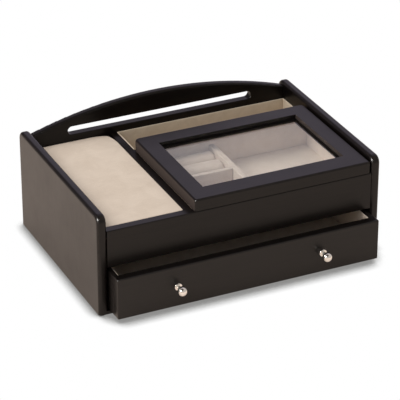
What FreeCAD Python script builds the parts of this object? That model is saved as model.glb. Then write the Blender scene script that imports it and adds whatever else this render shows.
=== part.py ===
import FreeCAD, Part
import os
import Sketcher
from math import atan2, sqrt
from types import SimpleNamespace
from FreeCAD import Rotation, Vector

# Desk valet with a charging tray: two lacquered side panels carry an arched back, an upper front
# panel and a deck; a soft tray lies on the left, a lined trough at the back, a glass-topped lid
# over lined compartments on the right, and one drawer runs below.
# Millimetres, X to the right, Y to the back, Z up; the origin is on the surface that the base
# felt rests on, midway between the side panels and midway along their depth.

doc = FreeCAD.newDocument("valet_station")
sheet = doc.addObject("Spreadsheet::Sheet", "dims")


class Size:
    """A length that carries its number and the sheet expression that gives it."""

    def __init__(self, number, text):
        self.number = number
        self.text = text

    def __add__(self, other):
        other = as_size(other)
        return Size(self.number + other.number, f"({self.text} + {other.text})")

    def __sub__(self, other):
        other = as_size(other)
        return Size(self.number - other.number, f"({self.text} - {other.text})")

    def __mul__(self, other):
        other = as_size(other)
        return Size(self.number * other.number, f"({self.text} * {other.text})")

    def __truediv__(self, other):
        other = as_size(other)
        return Size(self.number / other.number, f"({self.text} / {other.text})")

    def __neg__(self):
        return Size(-self.number, f"(0 - {self.text})")

    def root(self):
        return Size(sqrt(self.number), f"sqrt({self.text})")


def as_size(value):
    return value if isinstance(value, Size) else Size(float(value), repr(float(value)))


# Driving dimensions, one sheet cell each.
sizes = {
    # Case
    "case_width": 318,
    "case_depth": 216.6,
    "side_rise": 17.9,
    "side_thick": 10.2,
    "corner_round": 8.5,
    "edge_round": 3.5,
    "felt_thick": 1,
    "felt_inset": 3,
    "base_thick": 3.6,
    "base_lap": 5,
    "front_setback": 0.5,
    "front_thick": 9.2,
    "front_height": 41.5,
    "front_round": 1.2,
    "back_thick": 9.35,
    "back_inset": 5.7,
    "back_round": 2.5,
    "shoulder_drop": 3.6,
    "arch_rise": 23.8,
    "slot_length": 216.6,
    "slot_height": 9.4,
    "slot_above_rim": 7.3,
    "slot_round": 0.85,
    "deck_rise": 2,
    "deck_thick": 6,
    "deck_lap": 3,
    "dowel_radius": 2.5,
    "dowel_in_panel": 5.5,
    "dowel_in_board": 12,
    "dowel_margin": 9,
    "bore_gap": 0.05,
    "bore_spare": 0.5,
    # Tray, trough and compartments
    "tray_width": 88.4,
    "divider_thick": 7.65,
    "cleat_width": 8,
    "cleat_height": 10,
    "tray_board_thick": 4,
    "pad_thick": 4,
    "pad_gap": 0.3,
    "pad_corner": 6,
    "pad_round": 1.6,
    "liner_floor": 1.5,
    "liner_wall": 1.7,
    "liner_drop": 0.3,
    "barrel_drop": 2.6,
    "rail_thick": 9.4,
    "partition_drop": 7,
    "partition_thick": 6.3,
    "partition_round": 1,
    "ring_bay_width": 80,
    "ring_bay_depth": 56.2,
    "cross_thick": 5,
    "roll_diameter": 22,
    "roll_gap": 0.2,
    "roll_end_round": 1.5,
    # Lid
    "lid_thick": 13.1,
    "lid_gap": 0.4,
    "lid_side_gap": 1,
    "lid_depth": 153.35,
    "lid_corner": 2.5,
    "lid_back_corner": 5,
    "lid_round": 2.2,
    "sash_left": 19.6,
    "sash_right": 19.4,
    "sash_back": 20.4,
    "sash_front": 23.6,
    "sash_thick": 8.2,
    "skirt_width": 10,
    "glass_lip": 4.5,
    "glass_seat": 5,
    "glass_thick": 2,
    "glass_gap": 0.1,
    "strip_reach": 3.2,
    "hinge_length": 24,
    "hinge_inset": 22,
    "leaf_width": 9,
    "leaf_thick": 0.9,
    "barrel_radius": 1.8,
    "barrel_gap": 0.15,
    "pin_radius": 0.8,
    "pin_gap": 0.05,
    "screw_radius": 0.9,
    "screw_head_radius": 1.7,
    "screw_length": 6,
    "screw_spread": 14,
    # Drawer
    "drawer_ajar": 22.3,
    "drawer_run_gap": 0.3,
    "drawer_head_gap": 2.8,
    "drawer_front_height": 45.7,
    "drawer_front_thick": 9.5,
    "drawer_front_gap": 1,
    "drawer_front_round": 1.5,
    "drawer_side_gap": 1.5,
    "drawer_side_drop": 1.4,
    "drawer_wall": 5,
    "drawer_floor_lift": 3,
    "drawer_floor_thick": 3,
    "groove_depth": 2,
    "drawer_liner_thick": 1.2,
    "runner_thick": 0.6,
    "runner_width": 4,
    "bumper_radius": 4,
    "bumper_thick": 2,
    "stop_gap": 0.3,
    "knob_spacing": 164,
    "knob_ball_radius": 5.15,
    "knob_reach": 15.5,
    "knob_neck_radius": 2.3,
    "knob_collar_radius": 4.2,
    "knob_collar_thick": 2,
    "knob_screw_radius": 1.75,
    "knob_screw_bite": 7,
    "knob_screw_head_radius": 3.4,
    "knob_screw_head_thick": 2,
}

# Each size goes into its own cell under its own alias; d.case_width is that size in this code.
for row, (alias, number) in enumerate(sizes.items(), 1):
    sheet.set(f"A{row}", alias.replace("_", " "))
    sheet.set(f"B{row}", str(number))
    sheet.setAlias(f"B{row}", alias)
d = SimpleNamespace(**{alias: Size(float(number), f"dims.{alias}") for alias, number in sizes.items()})

# Places that several pieces share, worked out from the sizes above.
half_width = d.case_width / 2
inner = half_width - d.side_thick
side_front = -d.case_depth / 2
side_back = d.case_depth / 2
base_top = d.felt_thick + d.base_thick
drawer_bottom = base_top + d.runner_thick + d.drawer_run_gap
drawer_top = drawer_bottom + d.drawer_front_height
front_bottom = drawer_top + d.drawer_head_gap
rim = front_bottom + d.front_height
side_top = rim + d.side_rise
side_height = side_top - d.felt_thick
deck_bottom = front_bottom + d.deck_rise
deck_top = deck_bottom + d.deck_thick
floor_top = deck_top + d.liner_floor
front_face = side_front + d.front_setback
front_inside = front_face + d.front_thick
back_outside = side_back - d.back_inset
back_inside = back_outside - d.back_thick
divider_left = d.tray_width - inner
divider_right = divider_left + d.divider_thick
lid_back = front_face + d.lid_depth
rail_front = lid_back - d.rail_thick
zero = as_size(0)

# How far a cutter runs past the face that it opens, the least length of a real edge, and the
# tolerance within which two places count as one.
past = as_size(1)
short = 1
tolerance = 1e-4

subparts = []
corner_of = {}


def bind(thing, name, size):
    """Bind one property of an object to its expression in the sheet."""
    thing.setExpression(name, as_size(size).text)


def place(thing, x, y, z, rotation=None):
    """Give an object its placement, bound to the sheet."""
    x, y, z = as_size(x), as_size(y), as_size(z)
    rotation = rotation or Rotation()
    thing.Placement = FreeCAD.Placement(Vector(x.number, y.number, z.number), rotation)
    bind(thing, "Placement.Base.x", x)
    bind(thing, "Placement.Base.y", y)
    bind(thing, "Placement.Base.z", z)


def new_body(label, x=zero, y=zero, z=zero, rotation=None, keep=True):
    """Start a body at a place; keep=False for one that goes into a group."""
    body = doc.addObject("PartDesign::Body", label)
    body.Label = label
    place(body, x, y, z, rotation)
    if rotation is None:
        corner_of[body.Name] = (x, y, z)
    if keep:
        subparts.append(body)
    return body


def new_sketch(body, plane, name="Sketch"):
    """Attach a sketch to one of the body's own origin planes."""
    sketch = body.newObject("Sketcher::SketchObject", name)
    own_plane = [part for part in body.Origin.OriginFeatures if part.Role == plane][0]
    sketch.AttachmentSupport = [(own_plane, "")]
    sketch.MapMode = "FlatFace"
    return sketch


def fix_point(sketch, edge, end, x, y):
    """Hold one end of an edge at its coordinates, each bound to the sheet."""
    for kind, value in (("DistanceX", x), ("DistanceY", y)):
        index = sketch.addConstraint(Sketcher.Constraint(kind, edge, end, value.number))
        bind(sketch, f"Constraints[{index}]", value)


def outline(sketch, corners):
    """Draw a closed outline anticlockwise through corners (x, y) or (x, y, radius).

    A radius makes the edge to the next corner an arc of that radius, bulging outwards.
    """
    corners = [tuple(as_size(value) for value in corner) for corner in corners]
    for number, corner in enumerate(corners):
        following = corners[(number + 1) % len(corners)]
        start = Vector(corner[0].number, corner[1].number, 0)
        end = Vector(following[0].number, following[1].number, 0)
        if len(corner) == 2:
            sketch.addGeometry(Part.LineSegment(start, end))
            continue
        radius = corner[2].number
        chord = end - start
        reach = sqrt(radius ** 2 - (chord.Length / 2) ** 2)
        left = Vector(-chord.y, chord.x, 0).normalize()
        centre = (start + end) / 2 + left * reach
        angles = [atan2(point.y - centre.y, point.x - centre.x) for point in (start, end)]
        circle = Part.Circle(centre, Vector(0, 0, 1), radius)
        sketch.addGeometry(Part.ArcOfCircle(circle, angles[0], angles[1]))
        index = sketch.addConstraint(Sketcher.Constraint("Radius", number, radius))
        bind(sketch, f"Constraints[{index}]", corner[2])
    for number, corner in enumerate(corners):
        fix_point(sketch, number, 1, corner[0], corner[1])
        following = (number + 1) % len(corners)
        sketch.addConstraint(Sketcher.Constraint("Coincident", number, 2, following, 1))


def rectangle(sketch, x, y):
    outline(sketch, [(x[0], y[0]), (x[1], y[0]), (x[1], y[1]), (x[0], y[1])])


def pad(body, sketch, length, backwards=False):
    feature = body.newObject("PartDesign::Pad", "Pad")
    feature.Profile = sketch
    bind(feature, "Length", length)
    feature.Reversed = backwards
    return feature


def plank(label, x, y, z, keep=True):
    """A board or strip: a rectangle padded upwards, placed at its lowest corner."""
    body = new_body(label, x[0], y[0], z[0], keep=keep)
    sketch = new_sketch(body, "XY_Plane", "Outline")
    rectangle(sketch, (zero, x[1] - x[0]), (zero, y[1] - y[0]))
    pad(body, sketch, z[1] - z[0])
    return body


def local(body, x, y, z):
    """A place in the part's frame, seen from the body's own corner."""
    corner = corner_of.get(body.Name, (zero, zero, zero))
    return as_size(x) - corner[0], as_size(y) - corner[1], as_size(z) - corner[2]


def block(body, kind, x, y, z):
    """Add or take away a box that spans x, y and z of the part's frame."""
    feature = body.newObject(f"PartDesign::{kind}Box", f"{kind}Box")
    bind(feature, "Length", x[1] - x[0])
    bind(feature, "Width", y[1] - y[0])
    bind(feature, "Height", z[1] - z[0])
    place(feature, *local(body, x[0], y[0], z[0]))
    return feature


TURN = {"X": Rotation(Vector(0, 1, 0), 90), "Y": Rotation(Vector(1, 0, 0), -90), "Z": Rotation()}


def rod(body, kind, axis, radius, length, x, y, z):
    """Add or take away a round bar that starts at x, y, z and runs along one axis."""
    feature = body.newObject(f"PartDesign::{kind}Cylinder", f"{kind}Cylinder")
    bind(feature, "Radius", radius)
    bind(feature, "Height", length)
    place(feature, *local(body, x, y, z), TURN[axis])
    return feature


def cut_checked(body, cutter, *values):
    """Take material away and make sure that the volume went down."""
    doc.recompute()
    before = body.Shape.Volume
    feature = cutter(body, "Subtractive", *values)
    doc.recompute()
    if not body.Shape.Volume < before - tolerance:
        raise RuntimeError(f"a cut in {body.Label} takes nothing away")
    return feature


def round_edges(body, radius, wanted):
    """Round the edges of the body's tip that the test picks."""
    doc.recompute()
    tip = body.Tip
    picked = [f"Edge{n}" for n, edge in enumerate(tip.Shape.Edges, 1) if wanted(edge.BoundBox)]
    if not picked:
        raise RuntimeError(f"no edge to round on {body.Label}")
    feature = body.newObject("PartDesign::Fillet", "Round")
    feature.Base = (tip, picked)
    bind(feature, "Radius", radius)
    return feature


def near(value, target):
    return abs(value - as_size(target).number) < tolerance


def flat(length):
    return length < tolerance


def turned(label, corners, x, y, z, rotation=None, keep=True):
    """A turned piece: a half profile of (radius, height) corners spun about its own Z axis."""
    body = new_body(label, x, y, z, rotation or Rotation(), keep)
    sketch = new_sketch(body, "XZ_Plane", "Profile")
    outline(sketch, corners)
    feature = body.newObject("PartDesign::Revolution", "Turn")
    feature.Profile = sketch
    feature.ReferenceAxis = (sketch, ["V_Axis"])
    feature.Angle = 360
    return body


def group(label, pieces):
    """Alike pieces that share one node as separate solids."""
    compound = doc.addObject("Part::Compound", label)
    compound.Label = label
    compound.Links = pieces
    subparts.append(compound)
    return compound


# Side panels: 10 mm board with rounded top corners and bullnose edges, rabbeted below for the
# base and grooved inside for the deck.
def side_panel(label, side):
    left_face = inner if side > 0 else -half_width
    body = new_body(label, left_face, side_front, d.felt_thick)
    sketch = new_sketch(body, "YZ_Plane", "Outline")
    outline(sketch, [
        (zero, zero),
        (d.case_depth, zero),
        (d.case_depth, side_height - d.corner_round, d.corner_round),
        (d.case_depth - d.corner_round, side_height),
        (d.corner_round, side_height, d.corner_round),
        (zero, side_height - d.corner_round)])
    pad(body, sketch, d.side_thick)
    round_edges(body, d.edge_round, lambda box: flat(box.XLength) and box.ZMax > short)
    for lap, y, z in ((d.base_lap, (side_front - past, back_outside), (d.felt_thick - past, base_top)),
                      (d.deck_lap, (front_inside, back_inside), (deck_bottom, deck_top))):
        x = (inner - past, inner + lap) if side > 0 else (-inner - lap, past - inner)
        cut_checked(body, block, x, y, z)
    return body


left_side = side_panel("left_side_panel", -1)
right_side = side_panel("right_side_panel", 1)

# Base: a felt sheet under a thin board that sits in the side panels' rabbets.
plank("base_felt",
      (d.felt_inset - half_width, half_width - d.felt_inset),
      (side_front + d.felt_inset, back_outside - d.felt_inset),
      (zero, d.felt_thick))
plank("base_panel",
      (-inner - d.base_lap, inner + d.base_lap),
      (side_front + d.front_setback, back_outside),
      (d.felt_thick, base_top))

# Upper front panel: closes the case above the drawer.
front_panel = plank("upper_front_panel", (-inner, inner), (front_face, front_inside),
                    (front_bottom, rim))
round_edges(front_panel, d.front_round, lambda box: near(box.YMax, 0) and box.XLength > short)

# Arched back panel: its top edge is one long arc, with a round-ended slot for leads below it.
back_panel = new_body("arched_back_panel", zero, back_inside, base_top)
shoulder = side_top - d.shoulder_drop - base_top
arch_radius = (inner * inner + d.arch_rise * d.arch_rise) / (d.arch_rise * 2)
arch = new_sketch(back_panel, "XZ_Plane", "Outline")
outline(arch, [(-inner, zero), (inner, zero), (inner, shoulder, arch_radius), (-inner, shoulder)])
pad(back_panel, arch, d.back_thick, backwards=True)
round_edges(back_panel, d.back_round,
            lambda box: flat(box.YLength) and box.ZMax > shoulder.number + short)
slot_radius = d.slot_height / 2
slot_end = d.slot_length / 2 - slot_radius
slot_bottom = rim + d.slot_above_rim
cut_checked(back_panel, block, (-slot_end, slot_end), (back_inside - past, back_outside + past),
            (slot_bottom, slot_bottom + d.slot_height))
for end in (-slot_end, slot_end):
    cut_checked(back_panel, rod, "Y", slot_radius, d.back_thick + past * 2, end, back_inside - past,
                slot_bottom + slot_radius)
slot_low = (slot_bottom - base_top).number - short
slot_high = (slot_bottom + d.slot_height - base_top).number + short
round_edges(back_panel, d.slot_round,
            lambda box: flat(box.YLength) and box.ZMin > slot_low and box.ZMax < slot_high)

# Deck over the drawer, divider beside the tray, and the rail that carries the lid's hinges.
plank("compartment_deck", (-inner - d.deck_lap, inner + d.deck_lap), (front_inside, back_inside),
      (deck_bottom, deck_top))
divider = plank("tray_divider", (divider_left, divider_right), (front_inside, back_inside),
                (deck_top, rim))
hinge_rail = plank("lid_hinge_rail", (divider_right, inner), (rail_front, lid_back),
                   (deck_top, rim))

# Dowels: each joint is bored in the panel and in the board that butts against it.
dowels = []


def dowel(panel, board, axis, direction, x, y, z):
    """Bore one dowel hole through a joint plane at x, y, z and put its dowel in."""
    bore = d.dowel_radius + d.bore_gap
    deep = d.dowel_in_panel + d.dowel_in_board + d.bore_spare
    back_off = d.dowel_in_panel if direction > 0 else d.dowel_in_board
    slack = d.bore_spare / 2

    def shifted(distance):
        return (x - distance, y, z) if axis == "X" else (x, y - distance, z)

    cut_checked(panel, rod, axis, bore, deep, *shifted(back_off + slack))
    cut_checked(board, rod, axis, bore, deep, *shifted(back_off + slack))
    peg = doc.addObject("Part::Cylinder", "Dowel")
    bind(peg, "Radius", d.dowel_radius)
    bind(peg, "Height", d.dowel_in_panel + d.dowel_in_board)
    place(peg, *shifted(back_off), TURN[axis])
    dowels.append(peg)


front_mid = front_face + d.front_thick / 2
back_mid = back_inside + d.back_thick / 2
rail_mid = rail_front + d.rail_thick / 2
divider_mid = divider_left + d.divider_thick / 2
front_heights = (front_bottom + d.dowel_margin, rim - d.dowel_margin)
back_heights = (base_top + d.dowel_margin, deck_bottom - d.dowel_margin, rim - d.dowel_margin)
rail_heights = (deck_top + d.dowel_margin, rim - d.dowel_margin)
for panel, plane, direction in ((left_side, -inner, 1), (right_side, inner, -1)):
    for height in front_heights:
        dowel(panel, front_panel, "X", direction, plane, front_mid, height)
    for height in back_heights:
        dowel(panel, back_panel, "X", direction, plane, back_mid, height)
for height in rail_heights:
    dowel(right_side, hinge_rail, "X", -1, inner, rail_mid, height)
    dowel(divider, hinge_rail, "X", 1, divider_right, rail_mid, height)
    dowel(front_panel, divider, "Y", 1, divider_mid, front_inside, height)
    dowel(back_panel, divider, "Y", -1, divider_mid, back_inside, height)
group("case_dowels", dowels)

# Charging tray: a board on two cleats, with a soft pad level with the rim.
board_bottom = rim - d.pad_thick - d.tray_board_thick
cleat_z = (board_bottom - d.cleat_height, board_bottom)
tray_y = (front_inside, back_inside)
group("tray_cleats", [
    plank("left_cleat", (-inner, d.cleat_width - inner), tray_y, cleat_z, keep=False),
    plank("right_cleat", (divider_left - d.cleat_width, divider_left), tray_y, cleat_z, keep=False)])
plank("tray_board", (-inner, divider_left), tray_y, (board_bottom, board_bottom + d.tray_board_thick))
tray_pad = plank("tray_pad", (d.pad_gap - inner, divider_left - d.pad_gap),
                 (front_inside + d.pad_gap, back_inside - d.pad_gap),
                 (rim - d.pad_thick, rim))
round_edges(tray_pad, d.pad_corner, lambda box: box.ZLength > short)
round_edges(tray_pad, d.pad_round, lambda box: near(box.ZMin, d.pad_thick))

# Linings: thin card boxes with suede faces for the trough and the compartments.
def lining(label, x, y, top, front_top):
    body = plank(label, x, y, (deck_top, top))
    hollow = ((x[0] + d.liner_wall, x[1] - d.liner_wall), (y[0] + d.liner_wall, y[1] - d.liner_wall))
    cut_checked(body, block, *hollow, (floor_top, top + past))
    if front_top:
        cut_checked(body, block, (x[0] - past, x[1] + past), (y[0] - past, y[0] + d.liner_wall),
                    (front_top, top + past))
    return body


lining("trough_liner", (divider_right, inner), (lid_back, back_inside), rim,
       rim - d.barrel_drop)
lining("compartment_liner", (divider_right, inner), (front_inside, rail_front),
       rim - d.liner_drop, None)

# Partitions and ring rolls inside the compartment lining.
bay_left = divider_right + d.liner_wall
bay_back = rail_front - d.liner_wall
bay_front = front_inside + d.liner_wall
partition_x = (bay_left + d.ring_bay_width, bay_left + d.ring_bay_width + d.partition_thick)
partition_z = (floor_top, rim - d.partition_drop)
cross_back = bay_back - d.ring_bay_depth
for label, x, y, along in (
        ("long_partition", partition_x, (bay_front, bay_back), "Y"),
        ("cross_partition", (bay_left, partition_x[0]), (cross_back - d.cross_thick, cross_back), "X")):
    partition = plank(label, x, y, partition_z)
    round_edges(partition, d.partition_round,
                lambda box: near(box.ZMin, partition_z[1] - partition_z[0])
                and (box.YLength if along == "Y" else box.XLength) > d.partition_thick.number * 2)

roll_radius = d.roll_diameter / 2
roll_length = d.ring_bay_width - d.roll_gap * 2
roll_profile = [
    (zero, zero),
    (roll_radius - d.roll_end_round, zero, d.roll_end_round),
    (roll_radius, d.roll_end_round),
    (roll_radius, roll_length - d.roll_end_round, d.roll_end_round),
    (roll_radius - d.roll_end_round, roll_length),
    (zero, roll_length)]
roll_back = bay_back - d.roll_gap - roll_radius
for label, y in (("back_ring_roll", roll_back),
                 ("front_ring_roll", roll_back - d.roll_diameter - d.roll_gap)):
    turned(label, roll_profile, bay_left + d.roll_gap, y, floor_top + roll_radius, TURN["X"])

# Lid: one routed board with a skirt, a glazed opening and a seat for the pane from below.
lid_x = (divider_right, inner - d.lid_side_gap)
lid_y = (front_face, lid_back)
lid_bottom = rim + d.lid_gap
lid_top = lid_bottom + d.lid_thick
open_x = (lid_x[0] + d.sash_left, lid_x[1] - d.sash_right)
open_y = (lid_y[0] + d.sash_front, lid_y[1] - d.sash_back)
seat_x = (open_x[0] - d.glass_seat, open_x[1] + d.glass_seat)
seat_y = (open_y[0] - d.glass_seat, open_y[1] + d.glass_seat)
lid = plank("lid_frame", lid_x, lid_y, (lid_bottom, lid_top))
round_edges(lid, d.lid_corner, lambda box: box.ZLength > short and near(box.YMax, 0))
round_edges(lid, d.lid_back_corner, lambda box: box.ZLength > short and near(box.YMin, d.lid_depth))
round_edges(lid, d.lid_round, lambda box: near(box.ZMin, d.lid_thick))
cut_checked(lid, block, open_x, open_y, (lid_bottom - past, lid_top + past))
cut_checked(lid, block, seat_x, seat_y, (lid_bottom - past, lid_top - d.glass_lip))
cut_checked(lid, block, (lid_x[0] + d.skirt_width, lid_x[1] - d.skirt_width),
            (lid_y[0] + d.skirt_width, lid_y[1] - d.skirt_width),
            (lid_bottom - past, lid_top - d.sash_thick))

pane_top = lid_top - d.glass_lip - d.glass_gap
pane_bottom = pane_top - d.glass_thick
plank("glass_pane", (seat_x[0] + d.glass_gap, seat_x[1] - d.glass_gap),
      (seat_y[0] + d.glass_gap, seat_y[1] - d.glass_gap), (pane_bottom, pane_top))

# Four strips under the pane hold it in its seat and show as a narrow border inside the opening.
strip = d.glass_seat - d.glass_gap + d.strip_reach
strip_z = (lid_top - d.sash_thick, pane_bottom)
inside_x = (seat_x[0] + d.glass_gap, seat_x[1] - d.glass_gap)
inside_y = (seat_y[0] + d.glass_gap, seat_y[1] - d.glass_gap)
between = (inside_y[0] + strip, inside_y[1] - strip)
group("glass_retainers", [
    plank("front_strip", inside_x, (inside_y[0], inside_y[0] + strip), strip_z, keep=False),
    plank("back_strip", inside_x, (inside_y[1] - strip, inside_y[1]), strip_z, keep=False),
    plank("left_strip", (inside_x[0], inside_x[0] + strip), between, strip_z, keep=False),
    plank("right_strip", (inside_x[1] - strip, inside_x[1]), between, strip_z, keep=False)])

# Hinges: two butt hinges whose barrels stand just behind the lid, leaves let into both boards.
pivot_y = lid_back + d.barrel_radius + d.barrel_gap
pivot_z = rim + d.lid_gap / 2
knuckle = d.hinge_length / 3
leaf_y = (pivot_y - d.leaf_width, lid_back - d.barrel_gap)
rail_leaf_z = (rim - d.leaf_thick, rim)
lid_leaf_z = (lid_bottom, lid_bottom + d.leaf_thick)
hinge_middle = d.hinge_inset + d.hinge_length / 2
hinge_centres = (lid_x[0] + hinge_middle, lid_x[1] - hinge_middle)
screw_y = leaf_y[0] + d.leaf_width / 2 - d.barrel_gap
head_depth = d.screw_head_radius - d.screw_radius


def hinge_leaf(label, middle, leaf_z, segments):
    """One leaf of a hinge with its own knuckles, bored for the pin and for two screws."""
    start = middle - d.hinge_length / 2
    leaf = plank(label, (start, start + d.hinge_length), leaf_y, leaf_z, keep=False)
    for first, count in segments:
        x = (start + knuckle * first + d.pin_gap, start + knuckle * (first + count) - d.pin_gap)
        block(leaf, "Additive", x, (leaf_y[1] - past, pivot_y), leaf_z)
        rod(leaf, "Additive", "X", d.barrel_radius, x[1] - x[0], x[0], pivot_y, pivot_z)
    cut_checked(leaf, rod, "X", d.pin_radius + d.pin_gap, d.hinge_length + past * 2,
                start - past, pivot_y, pivot_z)
    return leaf


def wood_screw(x, y, z, rotation):
    """A countersunk screw with a slot, its head flush at x, y, z."""
    screw = turned("Screw", [
        (zero, -d.screw_length),
        (d.screw_radius, -d.screw_length + d.screw_radius),
        (d.screw_radius, -head_depth),
        (d.screw_head_radius, zero),
        (zero, zero)], x, y, z, rotation, keep=False)
    slot_deep = head_depth / 2
    slot_wide = d.screw_radius / 2
    cut_checked(screw, block, (-d.screw_head_radius, d.screw_head_radius),
                (-slot_wide / 2, slot_wide / 2), (-slot_deep, past))
    return screw


def countersink(body, x, y, z, downwards):
    """Bore a board or leaf for a screw that enters at z."""
    clear = d.screw_radius + d.bore_gap
    length = d.screw_length + d.bore_spare
    cut_checked(body, rod, "Z", clear, length, x, y, z - length if downwards else z)


def sink_head(body, x, y, z, downwards):
    """Open a leaf's hole into a cone for the screw's head."""
    cone = body.newObject("PartDesign::SubtractiveCone", "Countersink")
    wide, narrow = d.screw_head_radius + d.bore_gap, d.screw_radius + d.bore_gap
    bind(cone, "Radius1", narrow if downwards else wide)
    bind(cone, "Radius2", wide if downwards else narrow)
    bind(cone, "Height", head_depth)
    place(cone, *local(body, x, y, z - head_depth if downwards else z))


rail_leaves, lid_leaves, pins, rail_screws, lid_screws = [], [], [], [], []
for number, middle in enumerate(hinge_centres):
    start = middle - d.hinge_length / 2
    mortise_x = (start - d.bore_gap, start + d.hinge_length + d.bore_gap)
    mortise_y = (leaf_y[0] - d.bore_gap, lid_back + past)
    cut_checked(hinge_rail, block, mortise_x, mortise_y,
                (rim - d.leaf_thick - d.bore_gap, rim + past))
    cut_checked(lid, block, mortise_x, mortise_y,
                (lid_bottom - past, lid_bottom + d.leaf_thick + d.bore_gap))
    rail_leaf = hinge_leaf(f"rail_leaf_{number}", middle, rail_leaf_z, ((0, 1), (2, 1)))
    lid_leaf = hinge_leaf(f"lid_leaf_{number}", middle, lid_leaf_z, ((1, 1),))
    for x in (middle - d.screw_spread / 2, middle + d.screw_spread / 2):
        countersink(rail_leaf, x, screw_y, rim, True)
        sink_head(rail_leaf, x, screw_y, rim, True)
        countersink(hinge_rail, x, screw_y, rim, True)
        rail_screws.append(wood_screw(x, screw_y, rim, None))
        countersink(lid_leaf, x, screw_y, lid_bottom, False)
        sink_head(lid_leaf, x, screw_y, lid_bottom, False)
        countersink(lid, x, screw_y, lid_bottom, False)
        lid_screws.append(wood_screw(x, screw_y, lid_bottom, Rotation(Vector(1, 0, 0), 180)))
    pin = doc.addObject("Part::Cylinder", "Pin")
    bind(pin, "Radius", d.pin_radius)
    bind(pin, "Height", d.hinge_length)
    place(pin, start, pivot_y, pivot_z, TURN["X"])
    pins.append(pin)
    rail_leaves.append(rail_leaf)
    lid_leaves.append(lid_leaf)
group("rail_hinge_leaves", rail_leaves)
group("rail_hinge_screws", rail_screws)
group("hinge_pins", pins)
group("lid_hinge_leaves", lid_leaves)
group("lid_hinge_screws", lid_screws)

# Drawer, drawn pulled out by d.drawer_ajar: a thick front, three thin walls and a grooved-in floor.
drawer_half = inner - d.drawer_front_gap
wall_outer = inner - d.drawer_side_gap
wall_inner = wall_outer - d.drawer_wall
drawer_face = front_face - d.drawer_ajar
drawer_front_back = drawer_face + d.drawer_front_thick
drawer_end = back_inside - d.bumper_thick - d.stop_gap - d.drawer_ajar
wall_z = (drawer_bottom, drawer_top - d.drawer_side_drop)
drawer_front = plank("drawer_front", (-drawer_half, drawer_half), (drawer_face, drawer_front_back),
                     (drawer_bottom, drawer_top))
round_edges(drawer_front, d.drawer_front_round,
            lambda box: near(box.YMax, 0) or (box.YLength > short and flat(box.XLength)))
left_wall = plank("drawer_left_side", (-wall_outer, -wall_inner), (drawer_front_back, drawer_end),
                  wall_z)
right_wall = plank("drawer_right_side", (wall_inner, wall_outer), (drawer_front_back, drawer_end),
                   wall_z)
back_wall = plank("drawer_back", (-wall_inner, wall_inner), (drawer_end - d.drawer_wall, drawer_end),
                  wall_z)
floor_z = (drawer_bottom + d.drawer_floor_lift, drawer_bottom + d.drawer_floor_lift + d.drawer_floor_thick)
floor_x = (-wall_inner - d.groove_depth, wall_inner + d.groove_depth)
floor_y = (drawer_front_back - d.groove_depth, drawer_end - d.drawer_wall + d.groove_depth)
for board in (drawer_front, left_wall, right_wall, back_wall):
    cut_checked(board, block, floor_x, floor_y, floor_z)
plank("drawer_bottom", floor_x, floor_y, floor_z)

liner_x = (-wall_inner, wall_inner)
liner_y = (drawer_front_back, drawer_end - d.drawer_wall)
drawer_liner = plank("drawer_liner", liner_x, liner_y, (floor_z[1], wall_z[1]))
cut_checked(drawer_liner, block,
            (liner_x[0] + d.drawer_liner_thick, liner_x[1] - d.drawer_liner_thick),
            (liner_y[0] + d.drawer_liner_thick, liner_y[1] - d.drawer_liner_thick),
            (floor_z[1] + d.drawer_liner_thick, wall_z[1] + past))

# Knobs: turned balls on a collar, each held by a screw from inside the drawer front.
ball_centre = d.knob_reach - d.knob_ball_radius
neck_top = ball_centre - (d.knob_ball_radius * d.knob_ball_radius
                          - d.knob_neck_radius * d.knob_neck_radius).root()
knob_profile = [
    (zero, zero),
    (d.knob_collar_radius, zero),
    (d.knob_collar_radius, d.knob_collar_thick / 2, d.knob_collar_thick / 2),
    (d.knob_collar_radius - d.knob_collar_thick / 2, d.knob_collar_thick),
    (d.knob_neck_radius, d.knob_collar_thick),
    (d.knob_neck_radius, neck_top, d.knob_ball_radius),
    (zero, d.knob_reach)]
knob_height = drawer_bottom + d.drawer_front_height / 2
facing = Rotation(Vector(1, 0, 0), 90)
knobs, knob_screws = [], []
for side in (-1, 1):
    x = d.knob_spacing / 2 * side
    knob = turned("Knob", knob_profile, x, drawer_face, knob_height, facing, keep=False)
    cut_checked(knob, rod, "Z", d.knob_screw_radius + d.bore_gap, d.knob_screw_bite + d.bore_spare,
                zero, zero, zero)
    knobs.append(knob)
    cut_checked(drawer_front, rod, "Y", d.knob_screw_radius + d.bore_gap,
                d.drawer_front_thick + past * 2, x, drawer_face - past, knob_height)
    cut_checked(drawer_front, rod, "Y", d.knob_screw_head_radius + d.bore_gap,
                d.knob_screw_head_thick + past, x, drawer_front_back - d.knob_screw_head_thick,
                knob_height)
    shank = d.drawer_front_thick - d.knob_screw_head_thick + d.knob_screw_bite
    knob_screws.append(turned("KnobScrew", [
        (zero, -d.knob_screw_head_thick),
        (d.knob_screw_head_radius, -d.knob_screw_head_thick),
        (d.knob_screw_head_radius, zero),
        (d.knob_screw_radius, zero),
        (d.knob_screw_radius, shank),
        (zero, shank)], x, drawer_front_back - d.knob_screw_head_thick, knob_height, facing,
        keep=False))
group("drawer_knobs", knobs)
group("knob_screws", knob_screws)

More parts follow.
